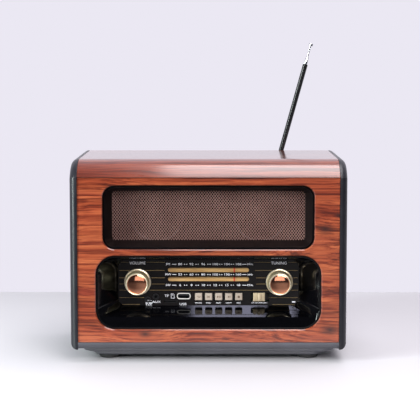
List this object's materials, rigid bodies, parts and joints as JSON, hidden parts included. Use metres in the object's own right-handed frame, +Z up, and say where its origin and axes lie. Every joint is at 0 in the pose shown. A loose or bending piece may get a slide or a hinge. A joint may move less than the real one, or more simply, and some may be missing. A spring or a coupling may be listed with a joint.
{
  "type": "table radio",
  "caption": "Retro table radio: wood-grain cabinet with a curved nose, black end caps, wide grille, gloss control recess with knobs, dial and keys, and a telescopic aerial.",
  "frame": {"origin": "centre of the object's bounding box on the surface that it stands on", "axes": "+Z up, the front faces -Y, +X is to the right of someone who looks at the front"},
  "size_m": [0.275, 0.159, 0.3183],
  "materials": {
    "wood_laminate": "wood-grain laminate on board, semi-gloss lacquer",
    "cap_black": "satin black moulded plastic",
    "foot_rubber": "soft black rubber",
    "bezel_black": "satin black moulded plastic",
    "mesh_metal": "copper-toned expanded metal",
    "baffle_board": "dark painted board",
    "recess_gloss": "piano black, polished",
    "panel_gloss": "printed gloss black panel",
    "amber_guide": "translucent amber light guide",
    "pointer_red": "red moulded pointer",
    "knob_gold": "champagne gold plating",
    "knob_mirror": "polished copper-gold disc",
    "shaft_brass": "turned brass",
    "button_cream": "cream moulded key",
    "slider_cream": "cream slider",
    "switch_black": "moulded component body",
    "socket_steel": "nickel-plated shell",
    "jack_black": "moulded socket",
    "drum_white": "natural acetal",
    "cord_fibre": "braided dial cord",
    "rail_steel": "plated steel",
    "board_green": "glass-fibre circuit board",
    "transformer_steel": "stacked steel laminations",
    "ferrite_dark": "sintered ferrite with a copper coil",
    "speaker_steel": "pressed steel",
    "speaker_magnet": "ferrite ring magnet",
    "speaker_paper": "black paper cone",
    "cover_black": "fine textured black plastic",
    "cell_wrap": "heat-shrink wrap",
    "aerial_steel": "plated steel",
    "aerial_black": "black coated brass tube",
    "aerial_chrome": "polished chrome"
  },
  "bodies": {
    "cabinet": {"aerial_bracket": "aerial_steel", "band_switch": "switch_black", "base_tray": "cap_black", "battery_cell": "cell_wrap", "battery_contacts": "rail_steel", "battery_holder": "cover_black", "button_switches": "switch_black", "card_socket": "jack_black", "control_board": "board_green", "control_recess": "recess_gloss", "cord_guides": "drum_white", "dial_cord": "cord_fibre", "dial_panel": "panel_gloss", "feet_front": "foot_rubber", "feet_rear": "foot_rubber", "ferrite_aerial": "ferrite_dark", "front_board": "wood_laminate", "grille_bezel": "bezel_black", "grille_mesh": "mesh_metal", "jack_sockets": "jack_black", "light_guide": "amber_guide", "main_board": "board_green", "mains_inlet": "jack_black", "pointer_rail": "rail_steel", "rear_cover": "cover_black", "rear_screws": "rail_steel", "side_cap_left": "cap_black", "side_cap_right": "cap_black", "speaker_baffle": "baffle_board", "speaker_basket_left": "speaker_steel", "speaker_basket_right": "speaker_steel", "speaker_cone_left": "speaker_paper", "speaker_cone_right": "speaker_paper", "speaker_magnet_left": "speaker_magnet", "speaker_magnet_right": "speaker_magnet", "top_board": "wood_laminate", "transformer": "transformer_steel", "tuning_bushing": "shaft_brass", "tuning_capacitor": "switch_black", "usb_socket": "socket_steel", "volume_control": "switch_black"},
    "volume": {"volume_knob": "knob_gold", "volume_knob_cap": "knob_mirror", "volume_shaft": "shaft_brass"},
    "tuning": {"tuning_knob": "knob_gold", "tuning_knob_cap": "knob_mirror", "tuning_shaft": "shaft_brass"},
    "pointer": {"dial_pointer": "pointer_red"},
    "drum": {"capacitor_drum": "drum_white"},
    "band": {"band_slider": "slider_cream"},
    "battery_hatch": {"battery_door": "cover_black"},
    "aerial_base": {"aerial_knuckle": "aerial_steel"},
    "aerial_mast": {"aerial_tube": "aerial_black"},
    "aerial_inner": {"aerial_section": "aerial_chrome"},
    "aerial_end": {"aerial_rod": "aerial_chrome"},
    "push_1": {"button_1": "button_cream"},
    "push_2": {"button_2": "button_cream"},
    "push_3": {"button_3": "button_cream"},
    "push_4": {"button_4": "button_cream"},
    "push_5": {"button_5": "button_cream"}
  },
  "joints": [
    {"name": "volume_turn", "type": "hinge", "parent": "cabinet", "child": "volume", "pos_m": [-0.0715, -0.0595, 0.0777], "axis": [0, 1, 0], "range_deg": [-150, 150]},
    {"name": "tuning_turn", "type": "hinge", "parent": "cabinet", "child": "tuning", "pos_m": [0.0715, -0.0595, 0.0777], "axis": [0, 1, 0], "range_deg": [-308, 53]},
    {"name": "pointer_slide", "type": "slide", "parent": "cabinet", "child": "pointer", "axis": [1, 0, 0], "range_m": [-0.063, 0.011]},
    {"name": "drum_turn", "type": "hinge", "parent": "cabinet", "child": "drum", "pos_m": [0.101, -0.0465, 0.052], "axis": [0, 1, 0], "range_deg": [-149, 26]},
    {"name": "push_1_press", "type": "slide", "parent": "cabinet", "child": "push_1", "axis": [0, 1, 0], "range_m": [0, 0.0012], "stiffness_N_per_m": 600, "springref_m": -0.0006},
    {"name": "push_2_press", "type": "slide", "parent": "cabinet", "child": "push_2", "axis": [0, 1, 0], "range_m": [0, 0.0012], "stiffness_N_per_m": 600, "springref_m": -0.0006},
    {"name": "push_3_press", "type": "slide", "parent": "cabinet", "child": "push_3", "axis": [0, 1, 0], "range_m": [0, 0.0012], "stiffness_N_per_m": 600, "springref_m": -0.0006},
    {"name": "push_4_press", "type": "slide", "parent": "cabinet", "child": "push_4", "axis": [0, 1, 0], "range_m": [0, 0.0012], "stiffness_N_per_m": 600, "springref_m": -0.0006},
    {"name": "push_5_press", "type": "slide", "parent": "cabinet", "child": "push_5", "axis": [0, 1, 0], "range_m": [0, 0.0012], "stiffness_N_per_m": 600, "springref_m": -0.0006},
    {"name": "band_slide", "type": "slide", "parent": "cabinet", "child": "band", "axis": [1, 0, 0], "range_m": [-0.002, 0.004]},
    {"name": "battery_hatch_turn", "type": "hinge", "parent": "cabinet", "child": "battery_hatch", "pos_m": [0, 0.0695, 0.0384], "axis": [-1, 0, 0], "range_deg": [0, 80]},
    {"name": "aerial_swing", "type": "hinge", "parent": "cabinet", "child": "aerial_base", "pos_m": [0.0746, 0.0765, 0.186], "axis": [0, 1, 0], "range_deg": [-105, 74]},
    {"name": "aerial_tilt", "type": "hinge", "parent": "aerial_base", "child": "aerial_mast", "pos_m": [0.07647, 0.0765, 0.19274], "axis": [-0.9636, 0, 0.2672], "range_deg": [0, 90]},
    {"name": "aerial_draw", "type": "slide", "parent": "aerial_mast", "child": "aerial_inner", "axis": [0.2672, 0, 0.9636], "range_m": [0, 0.085]},
    {"name": "aerial_end_draw", "type": "slide", "parent": "aerial_inner", "child": "aerial_end", "axis": [0.2672, 0, 0.9636], "range_m": [-0.0118, 0.07]}
  ],
  "couplings": [
    {"joint": "pointer_slide", "follows": "tuning_turn", "m_per_rad": 0.0117},
    {"joint": "drum_turn", "follows": "tuning_turn", "ratio": 0.48238}
  ]
}
